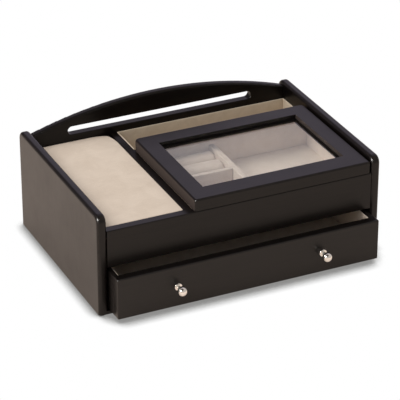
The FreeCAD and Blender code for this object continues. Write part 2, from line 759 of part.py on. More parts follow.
# Wear strips under the drawer's sides and soft stops behind it.
runner_inset = (d.drawer_wall - d.runner_width) / 2
runner_x = (wall_inner + runner_inset, wall_outer - runner_inset)
runner_y = (front_inside, back_inside)
runner_z = (base_top, base_top + d.runner_thick)
group("drawer_runners", [
    plank("left_runner", (-runner_x[1], -runner_x[0]), runner_y, runner_z, keep=False),
    plank("right_runner", runner_x, runner_y, runner_z, keep=False)])
bumpers = []
for side in (-1, 1):
    bumper = doc.addObject("Part::Cylinder", "Bumper")
    bind(bumper, "Radius", d.bumper_radius)
    bind(bumper, "Height", d.bumper_thick)
    place(bumper, d.knob_spacing / 2 * side, back_inside - d.bumper_thick, knob_height, TURN["Y"])
    bumpers.append(bumper)
group("drawer_bumpers", bumpers)

# Build, check every object and write one file for each sub-part.
doc.recompute()
for thing in doc.Objects:
    if "Invalid" in thing.State or "Error" in thing.State:
        raise RuntimeError(f"{thing.Label} failed: {thing.State}")
os.makedirs("parts", exist_ok=True)
for part in subparts:
    if part.Shape.isNull() or not part.Shape.isValid() or not part.Shape.Solids:
        raise RuntimeError(f"{part.Label} has no valid solid")
for part in subparts:
    part.Shape.exportStep(os.path.join("parts", f"{part.Label}.step"))
    box = part.Shape.BoundBox
    print(f"{part.Label:22} {len(part.Shape.Solids):3} solid(s) {part.Shape.Volume / 1000:9.2f} cm3  "
          f"X {box.XMin:8.2f} {box.XMax:8.2f}  Y {box.YMin:8.2f} {box.YMax:8.2f}  "
          f"Z {box.ZMin:7.2f} {box.ZMax:7.2f}")
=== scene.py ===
from math import radians

import bpy
import numpy as np
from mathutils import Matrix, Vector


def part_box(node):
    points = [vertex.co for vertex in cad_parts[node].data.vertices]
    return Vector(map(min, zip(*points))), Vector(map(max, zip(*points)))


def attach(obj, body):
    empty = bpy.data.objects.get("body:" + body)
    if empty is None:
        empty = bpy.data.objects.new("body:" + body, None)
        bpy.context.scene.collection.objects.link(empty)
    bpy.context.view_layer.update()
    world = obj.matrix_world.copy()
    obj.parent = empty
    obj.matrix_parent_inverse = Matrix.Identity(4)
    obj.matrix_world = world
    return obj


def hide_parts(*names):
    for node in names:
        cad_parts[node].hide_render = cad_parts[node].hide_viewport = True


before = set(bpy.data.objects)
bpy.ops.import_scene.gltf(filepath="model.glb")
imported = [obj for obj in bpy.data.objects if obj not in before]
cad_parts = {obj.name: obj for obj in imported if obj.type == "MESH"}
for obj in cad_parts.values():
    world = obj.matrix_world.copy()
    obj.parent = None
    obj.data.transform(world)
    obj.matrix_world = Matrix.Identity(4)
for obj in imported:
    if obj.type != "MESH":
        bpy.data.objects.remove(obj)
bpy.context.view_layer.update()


# Side panels, arched back and front panel: 10 mm boards with rounded edges, stained espresso and
# sprayed with satin lacquer. The grain runs along each board and barely shows through the film.
def shader_node(tree, kind, feeds=None, **settings):
    """Add one node: settings are its properties, feeds its socket values or the sockets behind them."""
    made = tree.nodes.new(kind)
    for name, value in settings.items():
        setattr(made, name, value)
    for name, value in (feeds or {}).items():
        if isinstance(value, bpy.types.NodeSocket):
            tree.links.new(value, made.inputs[name])
        else:
            made.inputs[name].default_value = value
    return made


def maths(tree, operation, *values):
    """One Math node on up to three values; MULTIPLY_ADD is first * second + third."""
    return shader_node(tree, "ShaderNodeMath", dict(enumerate(values)), operation=operation).outputs[0]


def vector_maths(tree, operation, *values):
    """The outputs of one Vector Math node on up to two vectors."""
    feeds = dict(enumerate(values))
    return shader_node(tree, "ShaderNodeVectorMath", feeds, operation=operation).outputs


def parts_of(tree, vector):
    """The X, Y and Z outputs of a vector."""
    return shader_node(tree, "ShaderNodeSeparateXYZ", {0: vector}).outputs


def leaning_of(tree):
    """How far the face's normal leans along X, Y and Z, 0..1 each."""
    face = shader_node(tree, "ShaderNodeNewGeometry").outputs["Normal"]
    return parts_of(tree, vector_maths(tree, "ABSOLUTE", face)[0])


def shader_group(name, inputs, outputs):
    """Start a shader node group with named sockets; returns the tree, its inputs and its outputs."""
    tree = bpy.data.node_groups.new(name, "ShaderNodeTree")
    kinds = {float: "NodeSocketFloat", tuple: "NodeSocketColor"}
    for label, value in inputs.items():
        socket = tree.interface.new_socket(label, in_out="INPUT", socket_type=kinds[type(value)])
        socket.default_value = value
    for label, value in outputs.items():
        tree.interface.new_socket(label, in_out="OUTPUT", socket_type=kinds[type(value)])
    return tree, tree.nodes.new("NodeGroupInput").outputs, tree.nodes.new("NodeGroupOutput").inputs


def blend_colours(tree, share, first, second):
    """First colour where share is 0, second where it is 1."""
    mix = shader_node(tree, "ShaderNodeMix", {0: share, 6: first, 7: second}, data_type="RGBA")
    return mix.outputs[2]


def spread(tree, value, low, high, to_low=0.0, to_high=1.0):
    """Stretch low..high of a value to to_low..to_high, held at both ends."""
    feeds = {"Value": value, "From Min": low, "From Max": high, "To Min": to_low, "To Max": to_high}
    return shader_node(tree, "ShaderNodeMapRange", feeds).outputs["Result"]


def noise(tree, vector, scale, detail=3.0, roughness=0.5, distortion=0.0):
    feeds = {"Vector": vector, "Scale": scale, "Detail": detail, "Roughness": roughness,
             "Distortion": distortion}
    return shader_node(tree, "ShaderNodeTexNoise", feeds).outputs["Fac"]


def object_place(tree):
    return shader_node(tree, "ShaderNodeTexCoord").outputs["Object"]


def stretched_place(tree, scale):
    """Object coordinates times a scale for each axis, for a pattern that runs one way."""
    feeds = {"Vector": object_place(tree), "Scale": scale}
    return shader_node(tree, "ShaderNodeMapping", feeds, vector_type="POINT").outputs["Vector"]


# Long fibres and short pores; the material that places the group stretches them along its board.
grain, entry, leave = shader_group(
    "wood_grain",
    {"Fibre Place": (0.0, 0.0, 0.0, 1.0), "Dark": (0.1, 0.1, 0.1, 1.0),
     "Light": (0.2, 0.2, 0.2, 1.0)},
    {"Color": (0.0,), "Height": 0.0})
fibres = noise(grain, entry["Fibre Place"], 1.0, 6.0, 0.6, 0.4)
pores = noise(grain, entry["Fibre Place"], 3.3, 2.0, 0.5)
tone = spread(grain, fibres, 0.32, 0.68)
pore_mask = spread(grain, pores, 0.34, 0.44)
wood = blend_colours(grain, tone, entry["Dark"], entry["Light"])
PORE_SHADE, FIBRE_RELIEF = 0.6, 0.35
open_pore = shader_node(grain, "ShaderNodeVectorMath", {0: entry["Dark"], "Scale": PORE_SHADE},
                        operation="SCALE").outputs[0]
grain.links.new(blend_colours(grain, pore_mask, open_pore, wood), leave["Color"])
grain.links.new(maths(grain, "MULTIPLY_ADD", tone, FIBRE_RELIEF, pore_mask), leave["Height"])

# Sprayed satin film: a faint orange peel, hand smudges that dull it, and rounded edges lightened
# in patches, partly where the film is rubbed a little thin and partly as a painted highlight.
SMUDGE_DULLS, WIPE_DULLS = 0.05, 0.03
film, entry, leave = shader_group(
    "satin_film",
    {"Board": (0.1, 0.1, 0.1, 1.0), "Rubbed And Glint": (0.2, 0.2, 0.2, 1.0), "Roughness": 0.3, "Peel": 0.1},
    {"Color": (0.0,), "Roughness": 0.0, "Height": 0.0})
place = object_place(film)
smudges = spread(film, noise(film, place, 28.0, 4.0, 0.6), 0.4, 0.75)
wipes = spread(film, noise(film, stretched_place(film, (30.0, 160.0, 60.0)), 1.0, 3.0), 0.45, 0.8)
peel = noise(film, place, 700.0, 2.0)
# The boards lie square, so a face whose normal leans away from every axis is a rounded edge.
lean = leaning_of(film)
squarest = maths(film, "MAXIMUM", maths(film, "MAXIMUM", lean[0], lean[1]), lean[2])
near_edge = spread(film, squarest, 0.90, 0.74)
patchy = spread(film, noise(film, place, 160.0, 3.0, 0.6), 0.42, 0.62)
# Lighter patches on rounded edges: partly rubbed film, partly a painted highlight along the edge.
wear_and_glint = maths(film, "MULTIPLY", near_edge, patchy)
film.links.new(blend_colours(film, wear_and_glint, entry["Board"], entry["Rubbed And Glint"]), leave["Color"])
dull = maths(film, "MULTIPLY_ADD", smudges, SMUDGE_DULLS, entry["Roughness"])
film.links.new(maths(film, "MULTIPLY_ADD", wipes, WIPE_DULLS, dull), leave["Roughness"])
film.links.new(maths(film, "MULTIPLY", peel, entry["Peel"]), leave["Height"])


def place_group(tree, group, feeds):
    """Put a shader group into a material; returns its outputs."""
    return shader_node(tree, "ShaderNodeGroup", feeds, node_tree=group).outputs


def new_material(name, **sockets):
    """A material with its Principled shader; sockets are even values for the shader's own sockets."""
    material = bpy.data.materials.new(name)
    material.use_nodes = True
    tree = material.node_tree
    surface = tree.nodes["Principled BSDF"]
    for label, value in sockets.items():
        surface.inputs[label.replace("_", " ")].default_value = value
    return material, tree, surface.inputs


def raise_surface(tree, height, distance):
    """A Bump node: height 0..1 stands for distance in metres."""
    bump = shader_node(tree, "ShaderNodeBump", {"Height": height, "Distance": distance})
    return bump.outputs["Normal"]


def coat_with(tree, surface, coat, relief):
    """Link a group's colour and roughness to the shader, and its height as relief in metres."""
    tree.links.new(coat["Color"], surface["Base Color"])
    tree.links.new(coat["Roughness"], surface["Roughness"])
    tree.links.new(raise_surface(tree, coat["Height"], relief), surface["Normal"])


LACQUER_DARK = (0.0020, 0.0011, 0.0008, 1.0)
LACQUER_LIGHT = (0.0044, 0.0026, 0.0019, 1.0)
# Colour of the lightened edges: rubbed film and a painted highlight together.
LACQUER_RUBBED_AND_GLINT = (0.013, 0.008, 0.0058, 1.0)
LACQUER_ROUGHNESS, LACQUER_PEEL = 0.29, 0.5
LACQUER_RELIEF, GRAIN_SHOWS = 0.00001, 0.25
SPRAYED_FILM, THIN_FILM, THICK_FILM = 1.38, 1.31, 1.44
FIBRES = {"x": (9.0, 260.0, 260.0), "y": (260.0, 9.0, 260.0)}


def lacquer(run, label="", index=SPRAYED_FILM):
    """Espresso stain and satin lacquer on a board whose grain runs along one axis.

    A thicker film has a higher index and mirrors more.
    """
    material, tree, surface = new_material(f"dark_lacquer_{label or run}", IOR=index)
    board = place_group(tree, grain, {"Fibre Place": stretched_place(tree, FIBRES[run]),
                                      "Dark": LACQUER_DARK, "Light": LACQUER_LIGHT})
    coat = place_group(tree, film, {"Board": board["Color"], "Rubbed And Glint": LACQUER_RUBBED_AND_GLINT,
                                    "Roughness": LACQUER_ROUGHNESS, "Peel": LACQUER_PEEL})
    tree.links.new(coat["Color"], surface["Base Color"])
    tree.links.new(coat["Roughness"], surface["Roughness"])
    bumps = maths(tree, "MULTIPLY_ADD", board["Height"], GRAIN_SHOWS, coat["Height"])
    tree.links.new(raise_surface(tree, bumps, LACQUER_RELIEF), surface["Normal"])
    return material


lacquers = {run: lacquer(run) for run in "xy"}


def finish_with(material, *nodes):
    """Give carried-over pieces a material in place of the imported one."""
    for node in nodes:
        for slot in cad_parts[node].material_slots:
            slot.material = material


SHARP_FOLD = radians(32)
MICRON_PLACES = 6
polished = bpy.data.collections.new("polished_pieces")
plated = bpy.data.collections.new("plated_pieces")


def smooth_object(name, vertices, faces, material):
    """A new smooth-shaded mesh object in the scene; faces is a list of corner lists."""
    mesh = bpy.data.meshes.new(name)
    mesh.from_pydata(vertices.tolist(), [], faces)
    mesh.shade_smooth()
    mesh.materials.append(material)
    made = bpy.data.objects.new(name, mesh)
    bpy.context.scene.collection.objects.link(made)
    return made


def seamless(node, material, body, shine=polished):
    """A carried-over piece with its loose triangles merged, so that its rounded edges shade as one.

    Corners within a micron become one vertex; folds over SHARP_FOLD stay sharp, and elsewhere a
    vertex leans as its widest face does, which keeps the flat faces flat.
    """
    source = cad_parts[node].data
    points = np.empty(len(source.vertices) * 3)
    source.vertices.foreach_get("co", points)
    corners = np.empty(len(source.loops), int)
    source.loops.foreach_get("vertex_index", corners)
    rounded = np.round(points.reshape(-1, 3), MICRON_PLACES)
    places, number = np.unique(rounded, axis=0, return_inverse=True)
    faces = number.ravel()[corners].reshape(-1, 3)
    whole = (faces != np.roll(faces, 1, axis=1)).all(1)
    piece = smooth_object(f"{node}_surface", places, faces[whole].tolist(), material)
    piece.data.set_sharp_from_angle(angle=SHARP_FOLD)
    leaning = piece.modifiers.new("flat faces stay flat", "WEIGHTED_NORMAL")
    leaning.keep_sharp = True
    leaning.weight = 100
    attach(piece, body)
    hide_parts(node)
    shine.objects.link(piece)


for node in ("left_side_panel", "right_side_panel"):
    seamless(node, lacquers["y"], "case")
seamless("upper_front_panel", lacquers["x"], "case")
seamless("arched_back_panel", lacquer("x", "back", THIN_FILM), "case")
finish_with(lacquers["y"], "tray_divider")
finish_with(lacquers["x"], "lid_hinge_rail")

# Base, deck, tray board and cleats: thin board stained dark and left matt, because it hardly shows.
STAIN_DARK = (0.004, 0.0028, 0.0022, 1.0)
STAIN_LIGHT = (0.009, 0.006, 0.005, 1.0)
BARE_GRAIN_RELIEF = 0.00006


def stained_board(run):
    material, tree, surface = new_material(f"stained_board_{run}", IOR=1.45)
    board = place_group(tree, grain, {"Fibre Place": stretched_place(tree, FIBRES[run]),
                                      "Dark": STAIN_DARK, "Light": STAIN_LIGHT})
    tree.links.new(board["Color"], surface["Base Color"])
    rough = spread(tree, board["Height"], 0.0, 1.35, 0.75, 0.5)
    tree.links.new(rough, surface["Roughness"])
    tree.links.new(raise_surface(tree, board["Height"], BARE_GRAIN_RELIEF), surface["Normal"])
    return material


stained = {run: stained_board(run) for run in "xy"}
finish_with(stained["x"], "base_panel", "compartment_deck")
finish_with(stained["y"], "tray_board", "tray_cleats")

# Dowels: bare beech pegs glued into the butt joints.
BEECH_DARK, BEECH_LIGHT = (0.50, 0.35, 0.21, 1.0), (0.68, 0.52, 0.35, 1.0)
BEECH_FIBRES, BEECH_RELIEF = (60.0, 420.0, 420.0), 0.00005
dowel_wood, tree, surface = new_material("dowel_wood", IOR=1.45, Roughness=0.62)
peg = place_group(tree, grain, {"Fibre Place": stretched_place(tree, BEECH_FIBRES),
                                "Dark": BEECH_DARK, "Light": BEECH_LIGHT})
tree.links.new(peg["Color"], surface["Base Color"])
tree.links.new(raise_surface(tree, peg["Height"], BEECH_RELIEF), surface["Normal"])
finish_with(dowel_wood, "case_dowels")


# Tray pad: card and thin foam under suede cloth that is rolled over all four edges and glued
# below, so that its edges are round, its corners draw in and its top has a slight crown.
def shell_of(xs, ys, zs):
    """Vertices and outward quads of a box whose six faces carry the grid lines xs, ys and zs."""
    shape = (len(xs), len(ys), len(zs))
    corners = np.stack(np.meshgrid(xs, ys, zs, indexing="ij"), -1).reshape(-1, 3)
    number = np.arange(len(corners)).reshape(shape)
    sides = []
    for axis in range(3):
        for end in (0, -1):
            side = np.take(number, end, axis)
            quads = np.stack([side[:-1, :-1], side[1:, :-1], side[1:, 1:], side[:-1, 1:]], -1)
            inwards = (end == 0) != (axis == 1)
            sides.append(quads.reshape(-1, 4)[:, ::-1] if inwards else quads.reshape(-1, 4))
    used, quads = np.unique(np.concatenate(sides), return_inverse=True)
    return corners[used], quads.reshape(-1, 4)


def edge_lines(low, high, rim, step):
    """Grid lines from low to high: eight within rim of each end and one for each step between."""
    near_low = low + rim * np.linspace(0, 1, 9) ** 1.3
    near_high = high - rim * np.linspace(1, 0, 9) ** 1.3
    between = max(int(round((high - low - 2 * rim) / step)), 1)
    return np.concatenate([near_low, np.linspace(low + rim, high - rim, between + 1)[1:-1], near_high])


def soft_block(low, high, corner, roll, step=0.004):
    """Vertices and quads of a block with round corners in plan and rolled edges above and below.

    Plan: a point is its place in the inner rectangle plus a unit direction times (corner - inset).
    Section: the inset and the height are rounded by an arc of radius roll.
    """
    low, high = np.array(low, float), np.array(high, float)
    rim = max(corner, roll)
    lines = [edge_lines(low[axis], high[axis], rim, step) for axis in (0, 1)]
    vertices, quads = shell_of(*lines, edge_lines(low[2], high[2], roll, step))
    inner = np.clip(vertices[:, :2], low[:2] + rim, high[:2] - rim)
    away = vertices[:, :2] - inner
    inset = rim - np.abs(away).max(1)
    length = np.linalg.norm(away, axis=1)
    direction = away / np.maximum(length, 1e-12)[:, None]
    squareness = np.clip(1 - corner / rim, 0, 1)
    square = away / np.maximum(rim - inset, 1e-12)[:, None]
    direction = direction * (1 - squareness) + squareness * square
    height = vertices[:, 2]
    centre = np.stack([np.maximum(inset, roll), np.clip(height, low[2] + roll, high[2] - roll)], 1)
    reach = np.stack([inset, height], 1) - centre
    size = np.linalg.norm(reach, axis=1)
    rolled = centre + roll * reach / np.maximum(size, 1e-12)[:, None]
    on_ring = (size > 1e-9) & (inset < roll + 1e-9)
    inset = np.where(on_ring, rolled[:, 0], inset)
    height = np.where(on_ring, rolled[:, 1], height)
    plan = np.where((length > 1e-12)[:, None], inner + direction * (rim - inset)[:, None], inner)
    return np.column_stack([plan, height]), quads


def new_piece(name, parts, material, body, slot, *stands_for):
    """One mesh object from several (vertices, quads) parts, riding on a body in place of CAD nodes."""
    offsets = np.cumsum([0] + [len(vertices) for vertices, quads in parts[:-1]])
    vertices = np.concatenate([vertices for vertices, quads in parts])
    quads = np.concatenate([quads + offset for (_, quads), offset in zip(parts, offsets)])
    piece = smooth_object(name, vertices, quads.tolist(), material)
    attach(piece, body)
    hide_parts(*stands_for)
    return piece


def fullness(values, low, high, power):
    """1 in the middle of low..high, falling to 0 at both ends; a high power keeps the middle flat."""
    return 1 - np.abs(np.clip((2 * values - low - high) / (high - low), -1, 1)) ** power


# Nap of suede cloth: patches brushed one way or the other, fine fibres and a few pressed spots.
nap, entry, leave = shader_group(
    "suede_nap",
    {"Brushed": (0.6, 0.5, 0.4, 1.0), "Ruffled": (0.5, 0.4, 0.3, 1.0), "Patch": 60.0, "Fibre": 2600.0},
    {"Color": (0.0,), "Roughness": 0.0, "Height": 0.0})
place = object_place(nap)
patches = noise(nap, place, entry["Patch"], 5.0, 0.62, 0.6)
streaks = noise(nap, stretched_place(nap, (90.0, 420.0, 240.0)), 1.0, 3.0, 0.6)
fibre = noise(nap, place, entry["Fibre"], 2.0, 0.7)
STREAK_SHARE, FIBRE_SHARE = 0.35, 0.55
lie = spread(nap, maths(nap, "MULTIPLY_ADD", streaks, STREAK_SHARE, patches), 0.50, 0.86)
hairs = maths(nap, "MULTIPLY_ADD", fibre, FIBRE_SHARE, lie)
share = spread(nap, hairs, 0.05, 1.25)
nap.links.new(blend_colours(nap, share, entry["Brushed"], entry["Ruffled"]), leave["Color"])
nap.links.new(spread(nap, lie, 0.0, 1.0, 0.86, 0.97), leave["Roughness"])
nap.links.new(hairs, leave["Height"])

# Brushed and ruffled colour of each cloth, and the size of its patches and relief. All four are
# one suede: the lining's colours are a lighter copy as painted light, the trough's and the padded
# cloth's darker copies as painted shade.
TRAY_CLOTH = (0.735, 0.615, 0.510, 1.0), (0.655, 0.540, 0.440, 1.0)
LINING_CLOTH_LIT = (0.82, 0.70, 0.585, 1.0), (0.74, 0.62, 0.51, 1.0)
TROUGH_CLOTH_SHADED = (0.66, 0.555, 0.435, 1.0), (0.585, 0.485, 0.37, 1.0)
PADDED_CLOTH_SHADED = (0.66, 0.555, 0.465, 1.0), (0.585, 0.485, 0.40, 1.0)
SHEEN_TINT = (1.0, 0.93, 0.84, 1.0)
TRAY_PATCH, TRAY_RELIEF = 42.0, 0.00014
CARD_PATCH, CARD_RELIEF = 65.0, 0.00012


def suede(name, cloth, patch=CARD_PATCH, relief=CARD_RELIEF):
    material, tree, surface = new_material(name, Sheen_Weight=0.12, Sheen_Roughness=0.45,
                                           Specular_IOR_Level=0.15)
    surface["Sheen Tint"].default_value = SHEEN_TINT
    brushed, ruffled = cloth
    pile = place_group(tree, nap, {"Brushed": brushed, "Ruffled": ruffled, "Patch": patch})
    coat_with(tree, surface, pile, relief)
    return material


tray_suede = suede("tray_suede", TRAY_CLOTH, TRAY_PATCH, TRAY_RELIEF)
low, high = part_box("tray_pad")
PAD_CORNER, PAD_ROLL, PAD_CROWN = 0.003, 0.0016, 0.0005
PAD_STEP, RIPPLE = 0.003, 0.00012
PULL_REACH, PULL, SWELL = 0.024, 0.0045, 0.0012
vertices, quads = soft_block(low, high, PAD_CORNER, PAD_ROLL, PAD_STEP)
bulge = fullness(vertices[:, 0], low.x, high.x, 6) * fullness(vertices[:, 1], low.y, high.y, 8)
ripple = np.sin(vertices[:, 0] * 210) * np.sin(vertices[:, 1] * 95 + vertices[:, 0] * 40)
above = (vertices[:, 2] - low.z) / (high.z - low.z)
vertices[:, 2] += above * bulge * (PAD_CROWN + RIPPLE * ripple)
# The cloth is tightest round the back right corner, which it draws in and lifts.
toward_corner = (np.clip(1 - (high.x - vertices[:, 0]) / PULL_REACH, 0, 1)
                 * np.clip(1 - (high.y - vertices[:, 1]) / PULL_REACH, 0, 1))
vertices[:, :2] -= (PULL * toward_corner ** 2)[:, None]
from_corner = np.hypot(vertices[:, 0] - high.x + PULL_REACH, vertices[:, 1] - high.y + PULL_REACH)
vertices[:, 2] += above * SWELL * np.exp(-(from_corner / PULL_REACH) ** 2) * bulge
tray_pad = new_piece("tray_suede_pad", [(vertices, quads)], tray_suede, "case", "beige_suede",
                     "tray_pad")

# Linings: cards covered in suede, a floor card and four wall cards for each hollow. The walls
# stand on the floor's edge, and every visible edge is a fold of the cloth.
# The linings' suede is the tray's suede painted lighter, as painted light in the hollows under the
# glass and in the drawer.
lit_lining_suede = suede("lit_lining_suede", LINING_CLOTH_LIT)
CARD_ROLL, CARD_PUFF, CARD_STEP, CARD_GAP = 0.00055, 0.00012, 0.006, 0.00015


def card(low, high, roll=CARD_ROLL):
    """One covered card: a soft block whose broad faces swell by CARD_PUFF between their edges."""
    vertices, quads = soft_block(low, high, roll, roll, CARD_STEP)
    size = np.array(high) - np.array(low)
    thin = int(np.argmin(size))
    swell = np.ones(len(vertices))
    for axis in range(3):
        if axis != thin:
            swell = swell * fullness(vertices[:, axis], low[axis], high[axis], 10)
    side = np.sign(vertices[:, thin] - (low[thin] + high[thin]) / 2)
    vertices[:, thin] += side * swell * CARD_PUFF
    return vertices, quads


def lining_cards(node, wall, floor, front_drop=0.0, rim_drop=0.0):
    """Floor card, long wall cards at front and back, short wall cards between them."""
    low, high = (np.array(corner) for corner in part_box(node))
    high[2] -= rim_drop
    gap = CARD_GAP
    over = low[2] + floor
    cards = [card((low[0] + gap, low[1] + gap, low[2] + gap),
                  (high[0] - gap, high[1] - gap, over))]
    for y, top in ((low[1] + gap, high[2] - front_drop), (high[1] - wall, high[2])):
        cards.append(card((low[0] + gap, y, over + gap), (high[0] - gap, y + wall - gap, top)))
    for x in (low[0] + gap, high[0] - wall):
        cards.append(card((x, low[1] + wall + gap, over + gap),
                          (x + wall - gap, high[1] - wall - gap, high[2])))
    return cards


LINER_WALL, LINER_FLOOR, BARREL_DROP, LID_DROP = 0.0017, 0.0015, 0.0026, 0.0014
# The trough's suede is the tray's suede painted darker and yellower, as painted shade.
shaded_trough_suede = suede("shaded_trough_suede", TROUGH_CLOTH_SHADED)
new_piece("trough_suede_lining", lining_cards("trough_liner", LINER_WALL, LINER_FLOOR, BARREL_DROP),
          shaded_trough_suede, "case", "beige_suede", "trough_liner")
new_piece("compartment_suede_lining",
          lining_cards("compartment_liner", LINER_WALL, LINER_FLOOR, rim_drop=LID_DROP),
          lit_lining_suede, "case", "beige_suede", "compartment_liner")

# Partitions: thicker covered boards, the cloth folded over their top edges; the cross partition
# butts against the long one.
PARTITION_ROLL = 0.0011
# The partitions' and rolls' suede is the tray's suede painted darker, as painted shade.
shaded_padded_suede = suede("shaded_padded_suede", PADDED_CLOTH_SHADED)
for node in ("long_partition", "cross_partition"):
    low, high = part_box(node)
    new_piece(f"{node}_suede", [card(low, high, PARTITION_ROLL)], shaded_padded_suede, "case", "beige_suede",
              node)


# Ring rolls: foam rods in suede, pressed against each other and the floor, so that their section
# is a circle drawn a little towards a square; the cloth is gathered into pleats on both ends.
ROLL_ROUND, ROLL_POWER = 0.0035, 2.35
PLEATS, PLEAT_DEPTH, PLEAT_FADE = 22, 0.02, 14
ROLL_SIDES = 96


def ring_roll(low, high):
    """Vertices and faces of a roll along X, closed by a fan of triangles at each end.

    Section: |y/r|^p + |z/r|^p = 1 with p = ROLL_POWER. The radius falls towards the middle of each
    end by a round of ROLL_ROUND, with shallow pleats that die out along the roll.
    """
    around = np.linspace(0, 2 * np.pi, ROLL_SIDES, endpoint=False)
    half = (high.x - low.x) / 2
    sweep = np.linspace(0, np.pi / 2, 9)[1:]
    radius = (high.z - low.z) / 2
    ends_x = half - ROLL_ROUND + ROLL_ROUND * np.cos(sweep[::-1])
    ends_r = 1 - ROLL_ROUND / radius * (1 - np.sin(sweep[::-1]))
    middle = np.linspace(0, half - ROLL_ROUND, 24)
    face_r = np.linspace(ends_r[-1], 0.02, 10)[1:]
    along = np.concatenate([middle[:-1], ends_x, np.full(len(face_r), half)])
    share = np.concatenate([np.ones(len(middle) - 1), ends_r, face_r])
    along = np.concatenate([-along[:0:-1], along])
    share = np.concatenate([share[:0:-1], share])
    power = ROLL_POWER
    ring = 1 / (np.abs(np.cos(around)) ** power + np.abs(np.sin(around)) ** power) ** (1 / power)
    fade = (np.abs(along) / half) ** PLEAT_FADE
    pleat = 1 - PLEAT_DEPTH * np.outer(fade, 1 + np.cos(PLEATS * around))
    reach = radius * share[:, None] * ring[None, :] * pleat
    x = np.broadcast_to(along[:, None], reach.shape) + (low.x + high.x) / 2
    y = reach * np.cos(around) + (low.y + high.y) / 2
    z = reach * np.sin(around) + (low.z + high.z) / 2
    vertices = np.stack([x, y, z], -1).reshape(-1, 3)
    rows = len(along)
    start = np.arange(ROLL_SIDES)
    turned = (start + 1) % ROLL_SIDES
    row_start = np.arange(rows - 1)[:, None] * ROLL_SIDES
    first, after = row_start + start, row_start + turned
    quads = np.stack([first, after, after + ROLL_SIDES, first + ROLL_SIDES], -1).reshape(-1, 4)
    caps = np.stack([vertices[:ROLL_SIDES].mean(0), vertices[-ROLL_SIDES:].mean(0)])
    left_cap, last = np.full(ROLL_SIDES, len(vertices)), (rows - 1) * ROLL_SIDES
    fans = np.concatenate([np.column_stack([turned, start, left_cap]),
                           np.column_stack([last + start, last + turned, left_cap + 1])])
    return np.concatenate([vertices, caps]), quads.tolist() + fans.tolist()


for node in ("back_ring_roll", "front_ring_roll"):
    vertices, faces = ring_roll(*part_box(node))
    # The rolls wear the darker copy of the suede, painted shade.
    roll = smooth_object(f"{node}_suede", vertices, faces, shaded_padded_suede)
    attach(roll, "case")
    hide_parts(node)

# Base felt: one sheet of pressed wool felt glued under the base, its cut edge slightly ragged.
WOOL_BRUSHED, WOOL_RUFFLED = (0.052, 0.047, 0.044, 1.0), (0.030, 0.027, 0.025, 1.0)
WOOL_RELIEF = 0.0003
FELT_CORNER, FELT_ROLL, FELT_STEP = 0.0004, 0.00035, 0.006
FRAY, FRAY_EDGE = 0.0008, 200
base_felt, tree, surface = new_material("base_felt", Sheen_Weight=0.1, Sheen_Roughness=0.6,
                                        Specular_IOR_Level=0.1)
wool = place_group(tree, nap, {"Brushed": WOOL_BRUSHED, "Ruffled": WOOL_RUFFLED,
                               "Patch": 300.0, "Fibre": 1800.0})
coat_with(tree, surface, wool, WOOL_RELIEF)
low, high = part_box("base_felt")
vertices, quads = soft_block(low, high, FELT_CORNER, FELT_ROLL, FELT_STEP)
edge = 1 - (fullness(vertices[:, 0], low.x, high.x, FRAY_EDGE)
            * fullness(vertices[:, 1], low.y, high.y, FRAY_EDGE))
frayed = FRAY * np.sin(vertices[:, 0] * 1900) * np.sin(vertices[:, 1] * 1700)
vertices[:, :2] *= (1 - np.clip(edge, 0, 1) * np.abs(frayed))[:, None]
felt = new_piece("base_felt_sheet", [(vertices, quads)], base_felt, "case", "base_felt", "base_felt")

# Hinges: two polished brass butt hinges with their pins, and zinc-plated screws.
polish, entry, leave = shader_group(
    "metal_polish",
    {"Metal": (0.7, 0.7, 0.7, 1.0), "Tarnish": (0.5, 0.5, 0.5, 1.0), "Roughness": 0.15,
     "Scratches": 0.5},
    {"Color": (0.0,), "Roughness": 0.0, "Height": 0.0})
place = object_place(polish)
lines = noise(polish, stretched_place(polish, (9000.0, 260.0, 2600.0)), 1.0, 3.0, 0.6)
spots = spread(polish, noise(polish, place, 420.0, 4.0, 0.65), 0.5, 0.8)
SCRATCH_DULLS, SPOT_DULLS, METAL_RELIEF = 0.12, 0.1, 0.000006
scratch = maths(polish, "MULTIPLY", lines, entry["Scratches"])
uneven = maths(polish, "MULTIPLY_ADD", scratch, SCRATCH_DULLS, entry["Roughness"])
polish.links.new(blend_colours(polish, spots, entry["Metal"], entry["Tarnish"]), leave["Color"])
polish.links.new(maths(polish, "MULTIPLY_ADD", spots, SPOT_DULLS, uneven), leave["Roughness"])
polish.links.new(scratch, leave["Height"])


def metal(name, bright, tarnish, roughness, scratches):
    material, tree, surface = new_material(name, Metallic=1.0)
    plate = place_group(tree, polish, {"Metal": bright, "Tarnish": tarnish, "Roughness": roughness,
                                       "Scratches": scratches})
    coat_with(tree, surface, plate, METAL_RELIEF)
    return material


hinge_brass = metal("hinge_brass", (0.80, 0.60, 0.28, 1.0), (0.55, 0.38, 0.17, 1.0), 0.16, 0.8)
screw_steel = metal("screw_steel", (0.66, 0.66, 0.67, 1.0), (0.45, 0.45, 0.46, 1.0), 0.28, 1.0)
finish_with(hinge_brass, "rail_hinge_leaves", "lid_hinge_leaves", "hinge_pins")
finish_with(screw_steel, "rail_hinge_screws", "lid_hinge_screws", "knob_screws")

